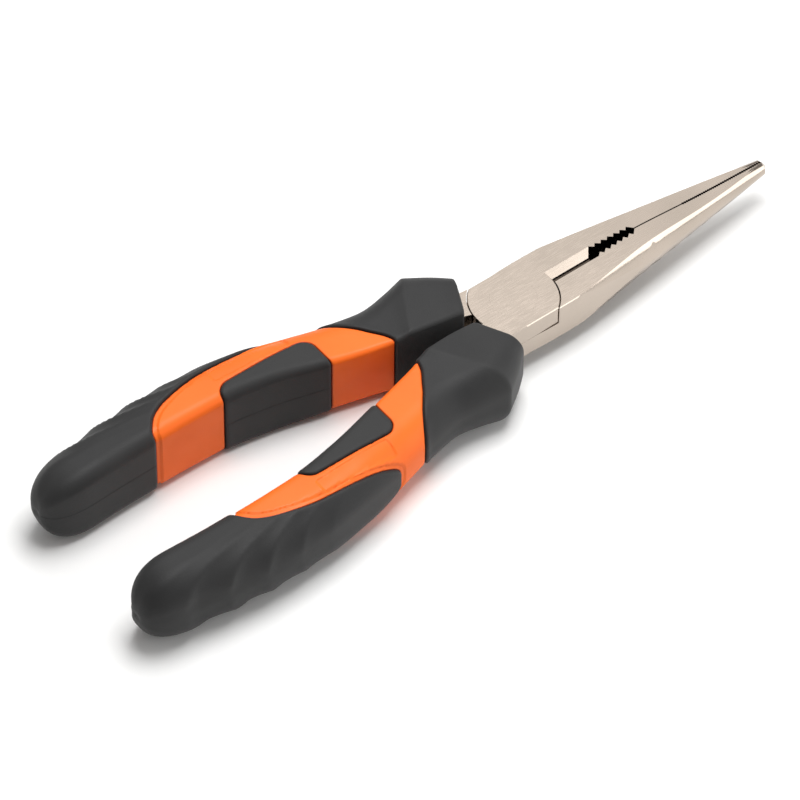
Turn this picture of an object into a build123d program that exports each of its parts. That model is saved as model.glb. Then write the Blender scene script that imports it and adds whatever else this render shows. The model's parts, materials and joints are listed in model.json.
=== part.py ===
from build123d import *
import os
from math import hypot

# Long-nose pliers lying flat: +X to the nose, +Y across, +Z up, millimetres.
# Everything is drawn about the pivot at mid thickness, then moved to the row frame,
# whose origin is the middle of the footprint on the surface the pliers lie on.

# overall
tip_x = 76.5              # nose tip ahead of the pivot
tail_x = -123.5           # end of the grips behind the pivot
rest_height = 10.2        # mid plane of the steel above the surface
pivot_x = -(tip_x + tail_x) / 2

# forged steel halves
steel_thickness = 10.2
half_steel = steel_thickness / 2
boss_radius = 10.85
boss_clearance = 0.22     # between a boss and the shoulders that surround it
lap_gap = 0.06            # between the two lap faces
jaw_gap = 0.34            # between the closed jaws
side_y = 8.75             # half width of the flats beside the pivot
flank_end = (42.0, 6.6)   # where the flank has run out into the nose cone
nose_radius_start = 12.03 # radius of the ground nose cone, carried back to the pivot
nose_radius_slope = 0.133 # loss of radius for each mm towards the tip
nose_cone_start = 13.0
nose_taper_start = 29.0   # the flat faces start to close in here
nose_taper_mid = [(40.0, 4.6), (52.0, 3.42)]
nose_taper_slope = -0.045 # at the tip
tip_half_height = 2.0
tip_rounding = 1.1
edge_break = 0.2          # bevel along the long outer edges
boss_edge_break = 0.15

# cutter and gripping teeth between the jaws
cutter_start = 6.0
cutter_end = 24.0
cutter_half_width = 1.9
cutter_depth = 1.7
slot_rear = 22.6
slot_front = 36.3
coarse_count = 7
coarse_pitch = 1.83
coarse_flank_x = 0.74     # run of the steep flank of a coarse tooth
coarse_depth = 0.92
root_y_rear = 1.95
root_y_front = 1.5
fine_start = 51.0
fine_end = 76.0
fine_count = 38
fine_depth = 0.22

# rivet
rivet_radius = 4.0
rivet_head_radius = 5.6
rivet_head_depth = 1.6
running_clearance = 0.05

# grips: stations from the guard's front edge to the tail, each an upright section between
# an inner and an outer plan point: (inner x, y), (outer x, y), half height, outer corner share, inner corner
grip_stations = [
    ((-13.0, 1.6), (-7.2, 13.2), 8.0, 0.55, 1.2),
    ((-20.0, 1.9), (-11.4, 16.8), 9.2, 0.66, 1.2),
    ((-28.3, 2.7), (-17.2, 20.9), 10.4, 0.74, 1.2),
    ((-31.0, 3.2), (-23.5, 19.9), 9.4, 0.80, 1.4),
    ((-34.0, 4.0), (-30.0, 19.3), 9.0, 0.84, 1.6),
    ((-40.0, 5.5), (-39.5, 21.0), 8.9, 0.86, 1.8),
    ((-50.0, 8.2), (-50.0, 23.8), 9.3, 0.86, 2.2),
    ((-62.0, 11.4), (-62.0, 26.5), 10.3, 0.86, 2.6),
    ((-75.0, 13.2), (-75.0, 28.6), 10.5, 0.86, 3.0),
    ((-88.0, 13.4), (-88.0, 29.4), 10.6, 0.86, 3.4),
    ((-100.0, 13.3), (-100.0, 28.4), 10.8, 0.86, 3.6),
    ((-111.0, 12.8), (-111.0, 26.6), 10.7, 0.86, 3.6),
    ((-118.0, 13.6), (-118.0, 24.8), 9.2, 0.86, 3.6),
    ((-122.0, 15.8), (-122.0, 22.0), 5.8, 0.80, 3.6),
    ((tail_x, 17.8), (tail_x, 20.4), 2.6, 0.40, 3.6),
]
ridge_station = 2         # the guard's ridge, a crease between two lofts
skin = 1.8                # thickness of the soft pads over the hard core

# forged tang inside each grip, plan points from the joint to its end
tang_outer = [(-6.4, 8.75), (-12.0, 9.6), (-22.0, 13.6), (-36.0, 16.9), (-62.0, 22.3), (-88.0, 24.6), (-104.0, 24.0)]
tang_inner = [(-104.0, 18.2), (-88.0, 18.4), (-62.0, 16.0), (-36.0, 8.8), (-22.0, 5.6), (-15.0, 3.4), (-10.4, 1.8)]

far_out = 40.0            # beyond every grip, for cutters


def turned(shape, below):
    # the lower half and the grip on the other side are the same parts turned about the long axis
    return shape.rotate(Axis.X, 180) if below else shape


def prism(outline, low, high):
    # solid between two heights over a closed plan outline
    face = make_face(outline)
    return extrude(Pos(0, 0, low) * face, amount=high - low)


def break_edges(blank, away, amount):
    # bevel on the upper and lower edges that lie further than this from the middle line
    flat_edges = blank.edges().filter_by(lambda e: abs(abs(e.center().Z) - half_steel) < 0.01)
    return chamfer(flat_edges.filter_by(lambda e: abs(e.center().Y) > away), amount)


def jaw_inner_edge():
    # from the boss to the tip: cutter land, coarse pipe teeth, plain gap, fine teeth
    land = jaw_gap / 2
    points = [(0.0, land), (slot_rear, land)]
    for tooth in range(coarse_count):
        root_x = cutter_end + tooth * coarse_pitch
        root_y = root_y_rear + (root_y_front - root_y_rear) * tooth / (coarse_count - 1)
        points.append((root_x, root_y))
        points.append((root_x + coarse_pitch - coarse_flank_x, root_y - coarse_depth))
    points[-1] = (slot_front, land)
    fine_pitch = (fine_end - fine_start) / fine_count
    for tooth in range(fine_count):
        points.append((fine_start + tooth * fine_pitch, land))
        points.append((fine_start + (tooth + 0.5) * fine_pitch, land + fine_depth))
    points.append((fine_end, land))
    points.append((tip_x, land))
    return points


def jaw():
    # flank plate with its edges bevelled, nose block ahead of it, then everything inside the teeth line
    flank = Spline(flank_end, (30.0, 7.7), (18.0, 8.7), (11.0, 8.98), (0.0, side_y))
    flank_rest = Polyline((0.0, side_y), (0.0, 0.0), (flank_end[0], 0.0), flank_end)
    plate = break_edges(prism(flank + flank_rest, -half_steel, half_steel), 6.0, edge_break)
    nose_outline = Polyline((flank_end[0], 0.0), flank_end, (tip_x, 3.6), (tip_x, 0.0), close=True)
    blank = plate + prism(nose_outline, -half_steel, half_steel)
    teeth_side = Polyline(*jaw_inner_edge(), (tip_x, far_out), (0.0, far_out), close=True)
    return blank & prism(teeth_side, -half_steel, half_steel) & nose_form() - cutter_bevel()


def nose_form():
    # cone about the long axis, flattened above and below towards the tip
    tip_radius = nose_radius_start - nose_radius_slope * tip_x
    cone_radius = nose_radius_start - nose_radius_slope * nose_cone_start
    rounding_x = tip_x - tip_rounding
    profile = make_face(
        Line((-1, 0), (-1, cone_radius))
        + Line((-1, cone_radius), (nose_cone_start, cone_radius))
        + Line((nose_cone_start, cone_radius), (rounding_x, nose_radius_start - nose_radius_slope * rounding_x))
        + Line((rounding_x, nose_radius_start - nose_radius_slope * rounding_x), (tip_x, tip_radius - tip_rounding))
        + Line((tip_x, tip_radius - tip_rounding), (tip_x, 0))
        + Line((tip_x, 0), (-1, 0))
    )
    cone = revolve(profile, Axis.X)
    taper = Spline(
        (nose_taper_start, half_steel),
        *nose_taper_mid,
        (tip_x, tip_half_height),
        tangents=[(1, 0), (1, nose_taper_slope)],
    )
    upper = Line((-1, half_steel), (nose_taper_start, half_steel)) + taper
    lower = upper.mirror(Plane.XZ)
    ends = Line((-1, half_steel), (-1, -half_steel)) + Line((tip_x, tip_half_height), (tip_x, -tip_half_height))
    side_view = make_face(upper + lower + ends)
    slab = extrude(Plane.XZ * side_view, amount=far_out, both=True)
    return cone & slab


def cutter_bevel():
    # the bevel that leads down to the cutting land, from both faces
    triangle = Polygon(
        (0, half_steel - cutter_depth),
        (cutter_half_width, half_steel),
        (0, half_steel + 1),
        align=None,
    )
    section = Plane.YZ.offset(cutter_start) * triangle
    upper = extrude(section, amount=cutter_end - cutter_start)
    return upper + upper.mirror(Plane.XY)


def tang():
    outer = Spline(*tang_outer)
    inner = Spline(*tang_inner)
    end = Line(tang_outer[-1], tang_inner[0])
    root = Polyline(tang_inner[-1], (-6.0, 1.8), (-3.0, 8.75), tang_outer[0])
    far_tang = prism(outer + end + inner + root, -half_steel, half_steel)
    return far_tang.mirror(Plane.XZ)


def rivet():
    head_z = half_steel - rivet_head_depth
    profile = Polyline(
        (0, -half_steel),
        (rivet_head_radius, -half_steel),
        (rivet_radius, -head_z),
        (rivet_radius, head_z),
        (rivet_head_radius, half_steel),
        (0, half_steel),
        close=True,
    )
    return revolve(Plane.XZ * make_face(profile), Axis.Z)


def rivet_room():
    # hole and countersink that the rivet turns in
    head_z = half_steel - rivet_head_depth
    hole = rivet_radius + running_clearance
    head = rivet_head_radius + running_clearance
    shaft = Cylinder(hole, steel_thickness + 2)
    sink = Cone(hole, head, rivet_head_depth, align=(Align.CENTER, Align.CENTER, Align.MIN))
    sinks = Pos(0, 0, head_z) * sink
    return shaft + sinks + sinks.mirror(Plane.XY)


def forged_half():
    # boss on top, jaw at +Y, tang at -Y
    disc = Pos(0, 0, lap_gap / 2) * Cylinder(
        boss_radius, half_steel - lap_gap / 2, align=(Align.CENTER, Align.CENTER, Align.MIN)
    )
    rim = disc.edges().filter_by(GeomType.CIRCLE).sort_by(Axis.Z)[-1]
    disc = chamfer(rim, boss_edge_break)
    strip = break_edges(Box(3 * boss_radius, 2 * side_y, steel_thickness), 6.0, edge_break)
    recess = Pos(0, 0, lap_gap / 2) * Cylinder(
        boss_radius + boss_clearance, steel_thickness, align=(Align.CENTER, Align.CENTER, Align.MAX)
    )
    return (jaw() + tang() - recess) + (disc & strip)


def grip_section(station, inset):
    (inner_x, inner_y), (outer_x, outer_y), half_height, outer_share, inner_corner = station
    width = hypot(outer_x - inner_x, outer_y - inner_y)
    across = Vector((outer_x - inner_x) / width, (outer_y - inner_y) / width, 0)
    plane = Plane(origin=(inner_x, inner_y, 0), x_dir=across, z_dir=across.cross(Vector(0, 0, 1)))
    wide = width - 2 * inset
    tall = 2 * (half_height - inset)
    blank = Pos(inset, 0) * Rectangle(wide, tall, align=(Align.MIN, Align.CENTER))
    corners = blank.vertices().sort_by(Axis.X)
    inner_radius = min(inner_corner, 0.45 * wide, 0.45 * tall)
    outer_radius = min(outer_share * tall / 2, 0.5 * wide)
    rounded = fillet(corners[0:2], inner_radius)
    rounded = fillet(rounded.vertices().sort_by(Axis.X)[-2:], outer_radius)
    return plane * rounded


def grip_form(inset, first):
    # envelope of the far grip, or its core when inset
    stations = grip_stations[first:]
    if inset:
        stations = stations[:-1]
    crease = ridge_station - first
    form = loft([grip_section(s, inset) for s in stations[crease:]])
    if crease > 0:
        form = form + loft([grip_section(s, inset) for s in stations[: crease + 1]])
    return form


def guard_region():
    edge = Spline((-32.0, 4.4), (-35.4, 10.8), (-39.6, 16.6), (-44.4, 24.8))
    rest = Polyline((-44.4, 24.8), (-44.4, far_out), (5.0, far_out), (5.0, -1.0), (-32.0, -1.0), (-32.0, 4.4))
    return prism(edge + rest, -far_out, far_out)


def inner_pad_region():
    block = Pos(-60.6, 8.0) * RectangleRounded(26.4, 18.6, 3.4)
    return extrude(Pos(0, 0, -far_out) * block, amount=2 * far_out)


def palm_region():
    edge = Spline((-93.0, 14.0), (-90.6, 18.4), (-85.0, 21.4), (-73.0, 23.9), (-60.0, 24.2), (-49.0, 24.3))
    rest = Polyline((-49.0, 24.3), (-49.0, far_out), (-130.0, far_out), (-130.0, 0.0), (-93.0, 0.0), (-93.0, 14.0))
    return prism(edge + rest, -far_out, far_out)


def grip():
    # far grip: hard core with the guard, the finger pad and the palm pad over it
    flats = Box(400, 200, 2 * rest_height)
    whole = grip_form(0, 0) & flats
    steel = tang().mirror(Plane.XZ)
    core_form = grip_form(skin, ridge_station)
    shell = whole - core_form
    guard = shell & guard_region() - steel
    inner_pad = shell & inner_pad_region()
    palm_pad = shell & palm_region()
    core = whole - guard - inner_pad - palm_pad - steel
    return {"grip_core": core, "front_guard": guard, "inner_finger_pad": inner_pad, "palm_pad": palm_pad}


def write(name, shape):
    placed = Pos(pivot_x, 0, rest_height) * shape
    export_step(placed, f"parts/{name}.step")


os.makedirs("parts", exist_ok=True)
pin = rivet()
half = forged_half()
write("pivot_rivet", pin)
write("upper_jaw_half", half - pin)
write("lower_jaw_half", turned(half - rivet_room(), True))
for piece, solid in grip().items():
    write(f"right_{piece}", turned(solid, True))
    write(f"left_{piece}", solid)
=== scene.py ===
import json
from math import cos, sin, pi, radians

import bmesh
import bpy
import numpy as np
from mathutils import Matrix, Vector
from mathutils.kdtree import KDTree


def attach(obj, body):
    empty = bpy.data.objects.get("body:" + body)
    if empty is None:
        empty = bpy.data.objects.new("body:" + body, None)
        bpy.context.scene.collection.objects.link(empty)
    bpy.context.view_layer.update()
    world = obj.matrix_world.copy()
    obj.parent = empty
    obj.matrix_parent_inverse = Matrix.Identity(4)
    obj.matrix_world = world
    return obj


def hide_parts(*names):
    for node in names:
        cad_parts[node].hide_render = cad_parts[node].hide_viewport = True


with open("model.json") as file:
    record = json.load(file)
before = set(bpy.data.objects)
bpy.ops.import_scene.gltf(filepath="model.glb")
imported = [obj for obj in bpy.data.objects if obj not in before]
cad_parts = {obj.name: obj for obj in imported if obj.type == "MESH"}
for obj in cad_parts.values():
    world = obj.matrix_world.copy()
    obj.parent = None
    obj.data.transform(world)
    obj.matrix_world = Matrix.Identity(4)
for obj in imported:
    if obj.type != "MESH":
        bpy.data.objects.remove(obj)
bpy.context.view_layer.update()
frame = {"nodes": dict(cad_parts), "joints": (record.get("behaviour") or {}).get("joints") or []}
pivot = Vector(frame["joints"][0]["pos_m"])
mm = 0.001

# the grip, drawn about the pivot in millimetres: for each station the inner and outer plan
# points, half height, how round the outer corners are and the radius of the inner corners
gripShape = {
    "stations": [
        ((-13.0, 1.6), (-7.2, 13.2), 8.0, 0.55, 1.2),
        ((-20.0, 1.9), (-11.4, 16.8), 9.2, 0.66, 1.2),
        ((-28.3, 2.7), (-17.2, 20.9), 10.15, 0.74, 1.2),
        ((-31.0, 3.2), (-23.5, 19.9), 9.4, 0.80, 1.4),
        ((-34.0, 4.0), (-30.0, 19.3), 9.0, 0.84, 1.6),
        ((-40.0, 5.5), (-39.5, 21.0), 8.9, 0.86, 1.8),
        ((-50.0, 8.2), (-50.0, 23.8), 9.3, 0.86, 2.2),
        ((-62.0, 11.4), (-62.0, 26.4), 10.1, 0.86, 2.6),
        ((-75.0, 13.2), (-75.0, 28.4), 10.15, 0.86, 3.0),
        ((-88.0, 13.4), (-88.0, 29.1), 10.15, 0.86, 3.4),
        ((-100.0, 13.3), (-100.0, 28.2), 10.15, 0.86, 3.6),
        ((-111.0, 12.9), (-111.0, 26.4), 10.15, 0.86, 3.6),
    ],
    "ridgeStation": 2,
    "ridgeSoftness": 0.16,      # in stations, how far the guard's ridge is rounded
    "ringSpacing": 0.55,
    "tailLength": 12.3,
    "tailPower": 2.4,
    "tailDrift": 0.35,          # how far the tail's end leans inward
    "lipRadius": 1.0,           # rounding of the guard's front edge
    "steelSpan": (1.35, 8.55),  # where the tang leaves the guard, along the front section
    "steelHalf": 5.12,
    "partingHeight": 0.07,      # raised parting line, on the finger pads and the palm pads' inner side
    "partingHalf": 0.04,
    "partingFrom": 8,
    "shellThickness": 0.7,
}

# borders between the soft and the hard plastic, seen from above
borders = {
    "guard": [(-32.0, -2.0), (-32.0, 4.4), (-35.4, 10.8), (-39.6, 16.6), (-44.4, 24.8), (-48.0, 31.0)],
    "palm": [
        (-93.0, -2.0), (-93.0, 14.0), (-90.6, 18.4), (-85.0, 21.4),
        (-73.0, 23.8), (-60.0, 24.1), (-45.0, 24.2),
    ],
    "padCentre": (-60.6, 8.0),
    "padHalf": (13.2, 9.3),
    "padCorner": 3.4,
}

# height over the drawn envelope, by distance from the border, in millimetres
relief = {
    "steps": (0.18, 0.45, 0.9, 1.25, 1.6),  # where lines of edges are cut, to carry the tables below
    "seamDepth": -0.95,
    # the next two set where the painted shade along the seams starts and how wide it fades, in mm from the
    # border
    "paintedShadeFrom": 0.1,
    "paintedShadeWidth": 0.22,
    "softEdge": [(0.0, -0.95), (0.18, -0.34), (0.45, -0.12), (0.9, -0.05)],
    "hardEdge": [(0.0, -0.95), (0.18, -0.52), (0.45, -0.41), (0.9, -0.38)],
    "hardPalmEdge": [(0.0, -0.95), (0.18, -0.80), (1.25, -0.78), (1.6, -0.38)],
    "guardLip": [(0.0, -0.95), (0.18, -0.22), (0.45, 0.0), (0.9, 0.0), (1.9, -0.10)],
}

# scallops on the palm pad: hollows between crests that cross the outer side and lean forward
# towards the flat faces; distances round the section are from the outer middle
scallops = {
    "crests": [-124.5, -114.2, -103.2, -93.3, -84.0, -75.0],
    "depths": [0.30, 0.60, 0.66, 0.48, 0.22],
    "lowest": 0.38,             # where in each interval the hollow is deepest
    "lean": 0.0065,
    "shareAtMiddle": 0.35,
    "deepFrom": 4.5,
    "fadeFrom": 8.0,
    "goneBy": 18.0,
    "edgeFade": 2.5,            # from the pad's border
}

# blank sunk panel on the orange band and the moulding gate mark at the tail
marks = {
    "panel": {
        "centre": (-62.0, 20.6),
        "half": (10.4, 2.0),
        "angle": -2.0,
        "corner": 0.6,
        "depth": 0.28,
        "slope": 0.25,
        "above": 4,             # the panels are on the two flat faces only
    },
    "gate": {"place": (-123.2, 19.2, 0.0), "radius": 1.3, "depth": 0.35},
}


def spline(keys, values, at):
    # smooth curve through the keys that never overshoots them
    keys, values = np.asarray(keys, float), np.asarray(values, float)
    step = np.diff(keys)
    slope = np.diff(values) / step
    tangent = np.zeros_like(values)
    tangent[0], tangent[-1] = slope[0], slope[-1]
    for i in range(1, len(keys) - 1):
        if slope[i - 1] * slope[i] > 0:
            a, b = 2 * step[i] + step[i - 1], step[i] + 2 * step[i - 1]
            tangent[i] = (a + b) / (a / slope[i - 1] + b / slope[i])
    k = np.clip(np.searchsorted(keys, at) - 1, 0, len(keys) - 2)
    t = (at - keys[k]) / step[k]
    return (
        values[k] * (1 + 2 * t) * (1 - t) ** 2
        + tangent[k] * step[k] * t * (1 - t) ** 2
        + values[k + 1] * t * t * (3 - 2 * t)
        + tangent[k + 1] * step[k] * t * t * (t - 1)
    )


def stationValues(at):
    # inner x, y, outer x, y, half height, outer and inner corner at a fractional station number
    rows = np.array([[*inner, *outer, *rest] for inner, outer, *rest in gripShape["stations"]])
    ridge = gripShape["ridgeStation"]
    soft = gripShape["ridgeSoftness"]
    keys = np.arange(len(rows))

    def sharp(u):
        part = slice(0, ridge + 1) if u <= ridge else slice(ridge, len(rows))
        return np.array([spline(keys[part], rows[part, c], u) for c in range(7)])

    if abs(at - ridge) < soft:
        # blend across the crease, so that the ridge is a small round instead of a knife edge
        near = np.linspace(-1, 1, 9) * (soft - abs(at - ridge)) * 0.5
        return np.mean([sharp(at + d) for d in near], axis=0)
    return sharp(at)


def sectionLoop(values, inset=0.0, shrink=1.0):
    # closed loop of a section, outward along the plan line and up, starting at the outer middle;
    # also gives each point's distance round the section from the outer middle
    innerX, innerY, outerX, outerY, halfHeight, cornerShare, innerCorner = values
    width = np.hypot(outerX - innerX, outerY - innerY)
    wide = (width / 2 - inset) * shrink
    tall = (halfHeight - inset) * shrink
    outerR = min(cornerShare * tall, wide)
    innerR = min(innerCorner * shrink, 0.9 * wide, 0.9 * tall)
    quarter = np.linspace(0, pi / 2, 15)
    flat = np.linspace(0, 1, 12)[1:-1]
    sideStops = np.array([0.0, 0.10, 0.22, 0.6]) / max(tall, 0.4)
    sideRest = np.linspace(0.13, 1, 6)[:-1]
    rise = np.concatenate([sideStops, sideRest])
    rise = np.sort(rise[rise < 1])
    upper = []
    outerFlat = max(tall - outerR, 0)
    innerFlat = max(tall - innerR, 0)
    for r in rise:
        upper.append((wide, r * outerFlat))
    for q in quarter:
        upper.append((wide - outerR + outerR * cos(q), outerFlat + outerR * sin(q)))
    for f in flat:
        upper.append((wide - outerR + (innerR - 2 * wide + outerR) * f, tall))
    for q in quarter[::-1]:
        upper.append((-wide + innerR - innerR * cos(q), innerFlat + innerR * sin(q)))
    for r in rise[::-1]:
        upper.append((-wide, r * innerFlat))
    upper = np.array(upper)
    lower = upper[1:-1][::-1] * (1, -1)
    run = np.concatenate([[0], np.cumsum(np.hypot(*np.diff(upper, axis=0).T))])
    loop = np.vstack([upper, lower])
    around = np.concatenate([run, -run[1:-1][::-1]])
    return loop, around


def placeLoop(values, loop):
    innerX, innerY, outerX, outerY = values[:4]
    middle = np.array([(innerX + outerX) / 2, (innerY + outerY) / 2])
    across = np.array([outerX - innerX, outerY - innerY])
    across /= np.linalg.norm(across)
    plan = middle + loop[:, :1] * across
    return np.column_stack([plan, loop[:, 1]])


def gripRings():
    # rings of points from the hole round the tang, over the front lip, to the tail
    shape = gripShape
    rings = []
    last = len(shape["stations"]) - 1
    front = stationValues(0)
    width = np.hypot(front[2] - front[0], front[3] - front[1])
    lip = shape["lipRadius"]
    face, around = sectionLoop(front, inset=lip)
    low, high = shape["steelSpan"]
    holeMiddle = (low + high) / 2 - width / 2
    holeHalf = np.array([(high - low) / 2, shape["steelHalf"]])
    scale = np.minimum(1, holeHalf / np.maximum(np.abs(face), 1e-6)).min(axis=1)
    hole = face * scale[:, None] + (holeMiddle, 0)
    for share in np.linspace(0, 1, 8)[:-1]:
        rings.append((placeLoop(front, hole + (face - hole) * share), around))
    stationStep = np.hypot(front[0] - stationValues(1)[0], front[1] - stationValues(1)[1])
    lipEnd = lip / stationStep
    for angle in np.linspace(0, pi / 2, 6):
        values = stationValues(lipEnd * (1 - cos(angle)))
        loop, around = sectionLoop(values, inset=lip * (1 - sin(angle)))
        rings.append((placeLoop(values, loop), around))
    # even spacing along the middle of the grip
    fine = np.linspace(lipEnd, last, 1500)
    centre = np.array([stationValues(u)[[0, 1, 2, 3]] for u in fine])
    path = (centre[:, :2] + centre[:, 2:]) / 2
    run = np.concatenate([[0], np.cumsum(np.hypot(*np.diff(path, axis=0).T))])
    count = int(run[-1] / shape["ringSpacing"])
    for u in np.interp(np.linspace(0, run[-1], count + 1)[1:], run, fine):
        values = stationValues(u)
        loop, around = sectionLoop(values)
        rings.append((placeLoop(values, loop), around))
    end = stationValues(last)
    power = 2 / shape["tailPower"]
    for angle in np.linspace(0, pi / 2, 26)[1:-1]:
        values = end.copy()
        values[[0, 2]] -= shape["tailLength"] * sin(angle) ** power
        values[[1, 3]] -= shape["tailDrift"] * (sin(angle) ** power)
        loop, around = sectionLoop(values, shrink=cos(angle) ** power)
        rings.append((placeLoop(values, loop), around))
    return rings


def planCurve(points, samples=240):
    points = np.array(points, float)
    run = np.concatenate([[0], np.cumsum(np.hypot(*np.diff(points, axis=0).T))])
    at = np.linspace(0, run[-1], samples)
    return np.column_stack([spline(run, points[:, 0], at), spline(run, points[:, 1], at)])


def sideOf(curve, plan):
    # distance in plan from a curve, positive on its left
    a, b = curve[:-1], curve[1:]
    along = b - a
    result = np.empty(len(plan))
    for start in range(0, len(plan), 4000):
        p = plan[start:start + 4000, None, :]
        t = np.clip(((p - a) * along).sum(2) / (along ** 2).sum(1), 0, 1)
        gap = p - (a + along * t[:, :, None])
        size = np.hypot(gap[:, :, 0], gap[:, :, 1])
        k = size.argmin(1)
        rows = np.arange(len(k))
        turn = along[k, 0] * gap[rows, k, 1] - along[k, 1] * gap[rows, k, 0]
        result[start:start + 4000] = size[rows, k] * np.sign(turn)
    return result


def borderFields(plan):
    # positive inside each soft piece
    guard = -sideOf(planCurve(borders["guard"]), plan)
    palm = sideOf(planCurve(borders["palm"]), plan)
    pad = roundedBox(plan - borders["padCentre"], borders["padHalf"], borders["padCorner"])
    return {"guard": guard, "palm": palm, "pad": pad}


def cutAlong(bm, layer, level, snap=0.16):
    # puts a line of edges where a value stored on the vertices equals level; a vertex within
    # snap of an edge's length from the line moves onto it
    def crossing(edge):
        a, b = edge.verts
        fa, fb = a[layer] - level, b[layer] - level
        if (fa > 1e-7 and fb < -1e-7) or (fa < -1e-7 and fb > 1e-7):
            return fa / (fa - fb)
        return None

    for edge in bm.edges:
        t = crossing(edge)
        if t is None:
            continue
        a, b = edge.verts
        if t < snap:
            a.co = a.co.lerp(b.co, t)
            a[layer] = level
        elif t > 1 - snap:
            b.co = a.co.lerp(b.co, t)
            b[layer] = level
    split = [(edge, t) for edge in bm.edges if (t := crossing(edge)) is not None]
    for edge, t in split:
        a = edge.verts[0]
        new = bmesh.utils.edge_split(edge, a, t)[1]
        new[layer] = level
    onLine = [v for v in bm.verts if abs(v[layer] - level) < 1e-6]
    bmesh.ops.connect_verts(bm, verts=onLine)


def profile(table, distance):
    keys, values = np.array(table).T
    return np.interp(distance, keys, values)


def smooth(t):
    t = np.clip(t, 0, 1)
    return t * t * (3 - 2 * t)


def scallopHeight(x, around):
    # hollows that meet in sharp crests, each deepest soon after the crest behind it
    s = scallops
    away = abs(around)
    position = x - s["lean"] * away ** 3
    share = s["shareAtMiddle"] + (1 - s["shareAtMiddle"]) * smooth(away / s["deepFrom"])
    share *= 1 - smooth((away - s["fadeFrom"]) / (s["goneBy"] - s["fadeFrom"]))
    for depth, start, end in zip(s["depths"], s["crests"], s["crests"][1:]):
        t = (position - start) / (end - start)
        if 0 <= t <= 1:
            low = s["lowest"]
            fromLow = (low - t) / low if t < low else (t - low) / (1 - low)
            return -depth * share * (1 - fromLow ** 2)
    return 0.0


def panelField(plan):
    # distance inside the sunk panel, negative outside it
    panel = marks["panel"]
    angle = radians(panel["angle"])
    away = plan - panel["centre"]
    turned = away @ np.array([(cos(angle), -sin(angle)), (sin(angle), cos(angle))])
    return roundedBox(turned, panel["half"], panel["corner"])


def roundedBox(away, half, corner):
    past = np.abs(away) - np.array(half) + corner
    return corner - np.hypot(*np.maximum(past, 0).T) - np.minimum(past.max(axis=1), 0)


def gateHeight(point):
    gate = marks["gate"]
    return -gate["depth"] * (1 - float(smooth((point - Vector(gate["place"])).length / gate["radius"])))


def gripMesh():
    # one closed skin with all border lines cut in, displaced, and each face given its piece
    rings = gripRings()
    bm = bmesh.new()
    aroundLayer = bm.verts.layers.float.new("around")
    rows = []
    for points, around in rings:
        row = [bm.verts.new(p) for p in points]
        for v, a in zip(row, around):
            v[aroundLayer] = a
        rows.append(row)
    count = len(rows[0])
    for near, far in zip(rows, rows[1:]):
        for i in range(count):
            j = (i + 1) % count
            bm.faces.new((near[i], near[j], far[j], far[i]))
    tip = bm.verts.new(np.mean([v.co for v in rows[-1]], axis=0) - np.array((0.05, 0, 0)))
    for i in range(count):
        bm.faces.new((rows[-1][i], rows[-1][(i + 1) % count], tip))
    bmesh.ops.recalc_face_normals(bm, faces=bm.faces)
    if max(bm.faces, key=lambda f: f.calc_center_median().y).normal.y < 0:
        bmesh.ops.reverse_faces(bm, faces=bm.faces)

    names = ["guard", "palm", "pad"]
    for name in names:
        layer = bm.verts.layers.float.new(name)
        plan = np.array([v.co.xy for v in bm.verts])
        for v, d in zip(bm.verts, borderFields(plan)[name]):
            v[layer] = d
        cutAlong(bm, layer, 0.0)
    layer = bm.verts.layers.float.new("panel")
    for v, d in zip(bm.verts, panelField(np.array([v.co.xy for v in bm.verts]))):
        v[layer] = d
    for level in (0.0, -marks["panel"]["slope"]):
        cutAlong(bm, layer, level)
    pieceLayer = bm.faces.layers.int.new("piece")
    centres = np.array([f.calc_center_median().xy for f in bm.faces])
    fields = borderFields(centres)
    piece = np.zeros(len(centres), int)
    for number, name in enumerate(names, start=1):
        piece[fields[name] > 0] = number
    for f, number in zip(bm.faces, piece):
        f[pieceLayer] = int(number)

    # true distance from each border, measured on the skin
    for number, name in enumerate(names, start=1):
        edges = [
            e for e in bm.edges
            if len(e.link_faces) == 2 and number in (e.link_faces[0][pieceLayer], e.link_faces[1][pieceLayer])
            and e.link_faces[0][pieceLayer] != e.link_faces[1][pieceLayer]
        ]
        samples = [e.verts[0].co.lerp(e.verts[1].co, t) for e in edges for t in (0, 0.2, 0.4, 0.6, 0.8)]
        tree = KDTree(len(samples))
        for i, point in enumerate(samples):
            tree.insert(point, i)
        tree.balance()
        layer = bm.verts.layers.float.new("from_" + name)
        for v in bm.verts:
            v[layer] = min(tree.find(v.co)[2], 9.0)
        for level in relief["steps"]:
            cutAlong(bm, layer, level)
    return bm


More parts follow.
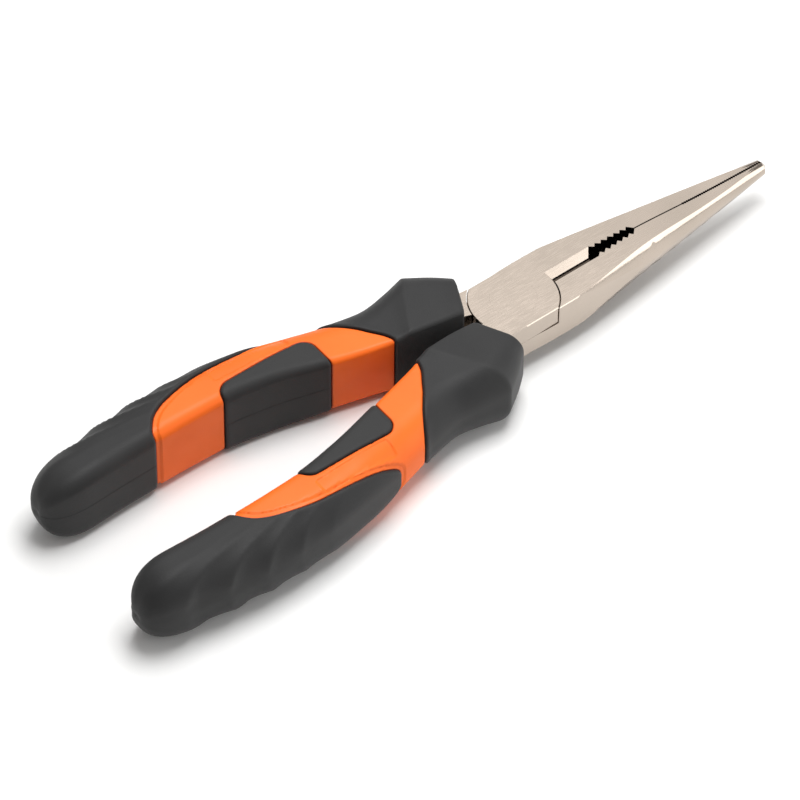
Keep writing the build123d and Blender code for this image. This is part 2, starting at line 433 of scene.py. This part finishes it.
def displaceGrip(bm):
    bm.normal_update()
    pieceLayer = bm.faces.layers.int["piece"]
    r = relief
    moves = []
    paintedShadeLayer = bm.verts.layers.float.new("paintedSeamShade")
    aroundLayer = bm.verts.layers.float["around"]
    panelLayer = bm.verts.layers.float["panel"]
    distance = {n: bm.verts.layers.float["from_" + n] for n in ("guard", "palm", "pad")}
    for v in bm.verts:
        kinds = {f[pieceLayer] for f in v.link_faces}
        dGuard, dPalm, dPad = (v[distance[n]] for n in ("guard", "palm", "pad"))
        if len(kinds) > 1:
            height = r["seamDepth"]
        elif 0 in kinds:
            height = min(
                float(profile(r["hardEdge"], min(dGuard, dPad))),
                float(profile(r["hardPalmEdge"], dPalm)),
            )
        elif 1 in kinds:
            height = float(profile(r["guardLip"], dGuard))
        else:
            height = float(profile(r["softEdge"], dPalm if 2 in kinds else dPad))
        if 2 in kinds and len(kinds) == 1:
            height += float(scallopHeight(v.co.x, v[aroundLayer])) * min(1, dPalm / scallops["edgeFade"])
        onParting = 3 in kinds or (2 in kinds and abs(v[aroundLayer]) > gripShape["partingFrom"])
        if abs(v.co.z) < gripShape["partingHalf"] and len(kinds) == 1 and onParting:
            height += gripShape["partingHeight"]
        # painted shade along the seams: full at the border, fading out past it
        pastSeam = min(dGuard, dPalm, dPad) - r["paintedShadeFrom"]
        v[paintedShadeLayer] = float(np.clip(1 - pastSeam / r["paintedShadeWidth"], 0, 1))
        if 0 in kinds and abs(v.co.z) > marks["panel"]["above"]:
            sunk = np.clip(1 + v[panelLayer] / marks["panel"]["slope"], 0, 1)
            height -= marks["panel"]["depth"] * float(sunk)
        moves.append(height + gateHeight(v.co))
    for v, height in zip(bm.verts, moves):
        v.co += v.normal * height


def pieceFromGrip(bm, number, name, turned):
    part = bm.copy()
    layer = part.faces.layers.int["piece"]
    bmesh.ops.delete(part, geom=[f for f in part.faces if f[layer] != number], context="FACES")
    loose = [v for v in part.verts if not v.link_faces]
    bmesh.ops.delete(part, geom=loose, context="VERTS")
    matrix = Matrix.Translation(pivot) @ Matrix.Scale(mm, 4)
    if turned:
        matrix = matrix @ Matrix.Rotation(pi, 4, "X")
    bmesh.ops.transform(part, matrix=matrix, verts=part.verts)
    mesh = bpy.data.meshes.new(name)
    part.to_mesh(mesh)
    part.free()
    piece = bpy.data.objects.new(name, mesh)
    bpy.context.collection.objects.link(piece)
    mesh.polygons.foreach_set("use_smooth", [True] * len(mesh.polygons))
    shell = piece.modifiers.new("shell", "SOLIDIFY")
    shell.thickness = gripShape["shellThickness"] * mm
    shell.offset = -1
    return piece


def newMaterial(name):
    material = bpy.data.materials.new(name)
    material.use_nodes = True
    nodes, links = material.node_tree.nodes, material.node_tree.links
    nodes.clear()
    out = nodes.new("ShaderNodeOutputMaterial")
    shader = nodes.new("ShaderNodeBsdfPrincipled")
    links.new(shader.outputs["BSDF"], out.inputs["Surface"])
    place = nodes.new("ShaderNodeTexCoord")
    return material, nodes, links, shader, place.outputs["Object"]


def noise(nodes, links, place, scale, detail=3.0, stretch=None):
    if stretch:
        mapping = nodes.new("ShaderNodeMapping")
        mapping.inputs["Scale"].default_value = stretch
        links.new(place, mapping.inputs["Vector"])
        place = mapping.outputs["Vector"]
    texture = nodes.new("ShaderNodeTexNoise")
    texture.inputs["Scale"].default_value = scale
    texture.inputs["Detail"].default_value = detail
    links.new(place, texture.inputs["Vector"])
    return texture.outputs["Fac"]


def mixColour(nodes, links, factor, first, second):
    mix = nodes.new("ShaderNodeMix")
    mix.data_type = "RGBA"
    links.new(factor, mix.inputs["Factor"])
    for socket, colour in ((mix.inputs["A"], first), (mix.inputs["B"], second)):
        if isinstance(colour, tuple):
            socket.default_value = (*colour, 1)
        else:
            links.new(colour, socket)
    return mix.outputs["Result"]


def remap(nodes, links, value, low, high, newLow, newHigh):
    node = nodes.new("ShaderNodeMapRange")
    for name, number in (("From Min", low), ("From Max", high), ("To Min", newLow), ("To Max", newHigh)):
        node.inputs[name].default_value = number
    links.new(value, node.inputs["Value"])
    return node.outputs["Result"]


def bump(nodes, links, shader, height, distance, strength=1.0):
    node = nodes.new("ShaderNodeBump")
    node.inputs["Distance"].default_value = distance
    node.inputs["Strength"].default_value = strength
    links.new(height, node.inputs["Height"])
    if shader.inputs["Normal"].is_linked:
        links.new(shader.inputs["Normal"].links[0].from_socket, node.inputs["Normal"])
    links.new(node.outputs["Normal"], shader.inputs["Normal"])


def maths(nodes, links, operation, *values):
    node = nodes.new("ShaderNodeMath")
    node.operation = operation
    for socket, value in zip(node.inputs, values):
        if isinstance(value, (int, float)):
            socket.default_value = value
        else:
            links.new(value, socket)
    return node.outputs[0]


def vectorMaths(nodes, links, operation, *values, result="Vector"):
    node = nodes.new("ShaderNodeVectorMath")
    node.operation = operation
    for socket, value in zip(node.inputs, values):
        if isinstance(value, (tuple, Vector)):
            socket.default_value = value
        else:
            links.new(value, socket)
    return node.outputs[result]


softFinish = {
    "colour": (0.016, 0.016, 0.0165),
    "worn": (0.024, 0.024, 0.024),
    # painted shade in the seam grooves
    "seamPaintedShade": (0.006, 0.006, 0.006),
    "roughness": 0.62,
    "specular": 0.28,
    "sheen": 0.08,
    "cloud": 60,
    "grain": 2600,
    "grainDepth": 0.00004,
}
hardFinish = {
    "colour": (0.88, 0.150, 0.014),
    "worn": (0.80, 0.130, 0.011),
    # painted shade in the seam grooves
    "seamPaintedShade": (0.30, 0.022, 0.006),
    "roughness": 0.48,
    "specular": 0.25,
    "sheen": 0.0,
    "cloud": 60,
    "grain": 1800,
    "grainDepth": 0.00002,
}


def mouldedPlastic(name, finish):
    material, nodes, links, shader, place = newMaterial(name)
    broad = noise(nodes, links, place, finish["cloud"], 4)
    grain = noise(nodes, links, place, finish["grain"], 2)
    handled = remap(nodes, links, broad, 0.35, 0.7, 0.0, 1.0)
    tone = mixColour(nodes, links, handled, finish["colour"], finish["worn"])
    # darken towards the seams: painted shade standing in for the grooves' shadow
    seamPaintedShade = nodes.new("ShaderNodeAttribute")
    seamPaintedShade.attribute_name = "paintedSeamShade"
    links.new(mixColour(nodes, links, seamPaintedShade.outputs["Fac"], tone, finish["seamPaintedShade"]), shader.inputs["Base Color"])
    rough = finish["roughness"]
    links.new(remap(nodes, links, broad, 0.3, 0.7, rough - 0.05, rough + 0.07), shader.inputs["Roughness"])
    bump(nodes, links, shader, grain, finish["grainDepth"])
    shader.inputs["Specular IOR Level"].default_value = finish["specular"]
    shader.inputs["Sheen Weight"].default_value = finish["sheen"]
    return material


steelFinish = {
    "colour": (0.465, 0.398, 0.340),
    "dull": (0.43, 0.37, 0.315),
    "speck": (0.34, 0.29, 0.24),
    # near-black painted shade for the walls of the pipe-grip hollow
    "paintedSlotShade": (0.035, 0.03, 0.026),
    "roughness": 0.24,
    "polished": 0.15,
    "coneRadius": 12.03,        # of the nose cone carried back to the pivot, and its loss for each mm
    "coneSlope": 0.133,
    "coneMatch": (0.90, 0.93),  # how closely a face must lie along the cone to take its normal
    "coneMiss": 0.2,            # and how far under it, in mm
    "brush": 2600,
    "brushStretch": (0.12, 1.0, 1.0),   # grinding lines run along the tool
    "brushDepth": 0.0000025,
    "patches": 90,
    "specks": 2200,
    "speckShare": 0.5,
    "slotFrom": (22.7, -2.05),  # the pipe-grip hollow whose upright walls get painted shade, along and across from the pivot
    "slotTo": (36.5, 2.05),
}


def groundSteel():
    f = steelFinish
    material, nodes, links, shader, place = newMaterial("ground_steel")
    shader.inputs["Metallic"].default_value = 1.0
    brush = noise(nodes, links, place, f["brush"], 3, stretch=f["brushStretch"])
    patches = noise(nodes, links, place, f["patches"], 3)
    tone = mixColour(nodes, links, remap(nodes, links, patches, 0.35, 0.7, 0, 1), f["colour"], f["dull"])
    specks = remap(nodes, links, noise(nodes, links, place, f["specks"], 2), 0.70, 0.78, 0.0, f["speckShare"])
    tone = mixColour(nodes, links, specks, tone, f["speck"])
    geometry = nodes.new("ShaderNodeNewGeometry")
    split = nodes.new("ShaderNodeSeparateXYZ")
    links.new(geometry.outputs["Normal"], split.inputs["Vector"])
    level = maths(nodes, links, "ABSOLUTE", split.outputs["Z"])
    # painted shade, near black, on the upright walls of the pipe-grip hollow only
    where = nodes.new("ShaderNodeSeparateXYZ")
    links.new(place, where.inputs["Vector"])
    slotShadeMask = remap(nodes, links, level, 0.25, 0.1, 0.0, 1.0)
    limits = [
        ("X", "GREATER_THAN", pivot.x + f["slotFrom"][0] * mm),
        ("X", "LESS_THAN", pivot.x + f["slotTo"][0] * mm),
        ("Y", "GREATER_THAN", pivot.y + f["slotFrom"][1] * mm),
        ("Y", "LESS_THAN", pivot.y + f["slotTo"][1] * mm),
    ]
    for axis, comparison, limit in limits:
        test = maths(nodes, links, comparison, where.outputs[axis], limit)
        slotShadeMask = maths(nodes, links, "MULTIPLY", slotShadeMask, test)
    links.new(mixColour(nodes, links, slotShadeMask, tone, f["paintedSlotShade"]), shader.inputs["Base Color"])
    flat = remap(nodes, links, level, 0.9, 0.99, 0.0, 1.0)
    rough = nodes.new("ShaderNodeMix")
    links.new(flat, rough.inputs["Factor"])
    rough.inputs["A"].default_value = f["polished"]
    brushed = remap(nodes, links, brush, 0.3, 0.7, f["roughness"] - 0.05, f["roughness"] + 0.08)
    links.new(brushed, rough.inputs["B"])
    links.new(rough.outputs["Result"], shader.inputs["Roughness"])
    # true round of the nose cone, worked out from the place, so that its glints run along it
    fromPivot = vectorMaths(nodes, links, "SUBTRACT", place, pivot)
    radial = vectorMaths(nodes, links, "MULTIPLY", fromPivot, (0, 1, 1))
    unit = vectorMaths(nodes, links, "NORMALIZE", radial)
    sloped = vectorMaths(nodes, links, "ADD", unit, (f["coneSlope"], 0, 0))
    turnedNormal = nodes.new("ShaderNodeVectorTransform")
    turnedNormal.vector_type = "NORMAL"
    turnedNormal.convert_from = "OBJECT"
    turnedNormal.convert_to = "WORLD"
    links.new(sloped, turnedNormal.inputs[0])
    trueNormal = geometry.outputs["True Normal"]
    match = vectorMaths(nodes, links, "DOT_PRODUCT", turnedNormal.outputs[0], trueNormal, result="Value")
    onCone = remap(nodes, links, match, *f["coneMatch"], 0.0, 1.0)
    # and only where the surface is as far out as the cone is
    coneAtPivot = f["coneRadius"] * mm + f["coneSlope"] * pivot.x
    coneRadius = maths(nodes, links, "MULTIPLY_ADD", where.outputs["X"], -f["coneSlope"], coneAtPivot)
    reach = vectorMaths(nodes, links, "LENGTH", radial, result="Value")
    short = maths(nodes, links, "SUBTRACT", reach, coneRadius)
    farEnough = maths(nodes, links, "GREATER_THAN", short, -f["coneMiss"] * mm)
    cone = maths(nodes, links, "MULTIPLY", onCone, farEnough)
    normalMix = nodes.new("ShaderNodeMix")
    normalMix.data_type = "VECTOR"
    links.new(cone, normalMix.inputs["Factor"])
    links.new(geometry.outputs["Normal"], normalMix.inputs["A"])
    links.new(turnedNormal.outputs[0], normalMix.inputs["B"])
    links.new(normalMix.outputs["Result"], shader.inputs["Normal"])
    bump(nodes, links, shader, brush, f["brushDepth"])
    return material


softPlastic = mouldedPlastic("soft_grip", softFinish)
hardPlastic = mouldedPlastic("orange_grip", hardFinish)
steel = groundSteel()
print("materials ready")


skinMesh = gripMesh()
displaceGrip(skinMesh)
print("grip skin", len(skinMesh.faces), "faces")

pieceKinds = [
    (0, "grip_core", hardPlastic, "orange_plastic"),
    (1, "front_guard", softPlastic, "dark_grip"),
    (2, "palm_pad", softPlastic, "dark_grip"),
    (3, "inner_finger_pad", softPlastic, "dark_grip"),
]
for side, body, turned in (("left", "lower_half", False), ("right", "upper_half", True)):
    for number, kind, material, slotName in pieceKinds:
        piece = pieceFromGrip(skinMesh, number, f"{side}_{kind}_skin", turned)
        piece.data.materials.append(material)
        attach(piece, body)
        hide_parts(f"{side}_{kind}")
    print(side, "grip done")
skinMesh.free()

for name in ("upper_jaw_half", "lower_jaw_half", "pivot_rivet"):
    node = frame["nodes"][name]
    for slotItem in node.material_slots:
        slotItem.material = steel


studio = {
    "floorTone": (0.86, 0.86, 0.86),
    "floorFleck": (0.88, 0.88, 0.87),
    "worldTone": (1.0, 0.985, 0.97),
    "worldStrength": 0.36,
    "overhead": {"place": (0.05, 0.02, 0.44), "aim": (0.0, 0.0, 0), "size": 0.26, "power": 2.1},
    "sky": {"place": (0.44, 0.46, 0.62), "aim": (0.03, 0, 0), "size": 0.72, "power": 1.55},
    "side": {"place": (0.60, -0.58, 0.30), "aim": (0.05, 0, 0.02), "size": 0.56, "power": 2.6},
}

floorMesh = bpy.data.meshes.new("floor")
floorMesh.from_pydata([(-4, -4, 0), (4, -4, 0), (4, 4, 0), (-4, 4, 0)], [], [(0, 1, 2, 3)])
floor = bpy.data.objects.new("floor", floorMesh)
bpy.context.collection.objects.link(floor)
floorMaterial, nodes, links, shader, place = newMaterial("pale_floor")
paper = noise(nodes, links, place, 400, 2)
floorColour = mixColour(nodes, links, paper, studio["floorTone"], studio["floorFleck"])
links.new(floorColour, shader.inputs["Base Color"])
shader.inputs["Roughness"].default_value = 0.9
floorMesh.materials.append(floorMaterial)

world = bpy.data.worlds.new("studio")
bpy.context.scene.world = world
world.use_nodes = True
background = world.node_tree.nodes["Background"]
background.inputs["Color"].default_value = (*studio["worldTone"], 1)
background.inputs["Strength"].default_value = studio["worldStrength"]
bpy.context.scene.view_settings.view_transform = "Standard"

for name in ("overhead", "sky", "side"):
    light = studio[name]
    lamp = bpy.data.lights.new(name, "AREA")
    lamp.energy = light["power"]
    lamp.size = light["size"]
    holder = bpy.data.objects.new(name, lamp)
    holder.location = light["place"]
    toAim = Vector(light["aim"]) - Vector(light["place"])
    holder.rotation_euler = toAim.to_track_quat("-Z", "Y").to_euler()
    bpy.context.collection.objects.link(holder)


camera = {
    "azimuth": -38.41,      # degrees, 0 looks along +Y
    "elevation": 49.16,
    "roll": 0.43,
    "distance": 1.393,
    "lens": 269.0,
    "aim": (-0.0067, 0.0041, -0.0032),
}
turn, tilt = radians(camera["azimuth"]), radians(camera["elevation"])
back = Vector((sin(turn) * cos(tilt), -cos(turn) * cos(tilt), sin(tilt)))
cameraData = bpy.data.cameras.new("camera")
cameraData.lens = camera["lens"]
cameraData.clip_start = 0.05
viewer = bpy.data.objects.new("camera", cameraData)
viewer.location = Vector(camera["aim"]) + back * camera["distance"]
viewer.rotation_mode = "QUATERNION"
look = (-back).to_track_quat("-Z", "Y")
viewer.rotation_quaternion = look @ Matrix.Rotation(radians(camera["roll"]), 3, "Z").to_quaternion()
bpy.context.collection.objects.link(viewer)
bpy.context.scene.camera = viewer
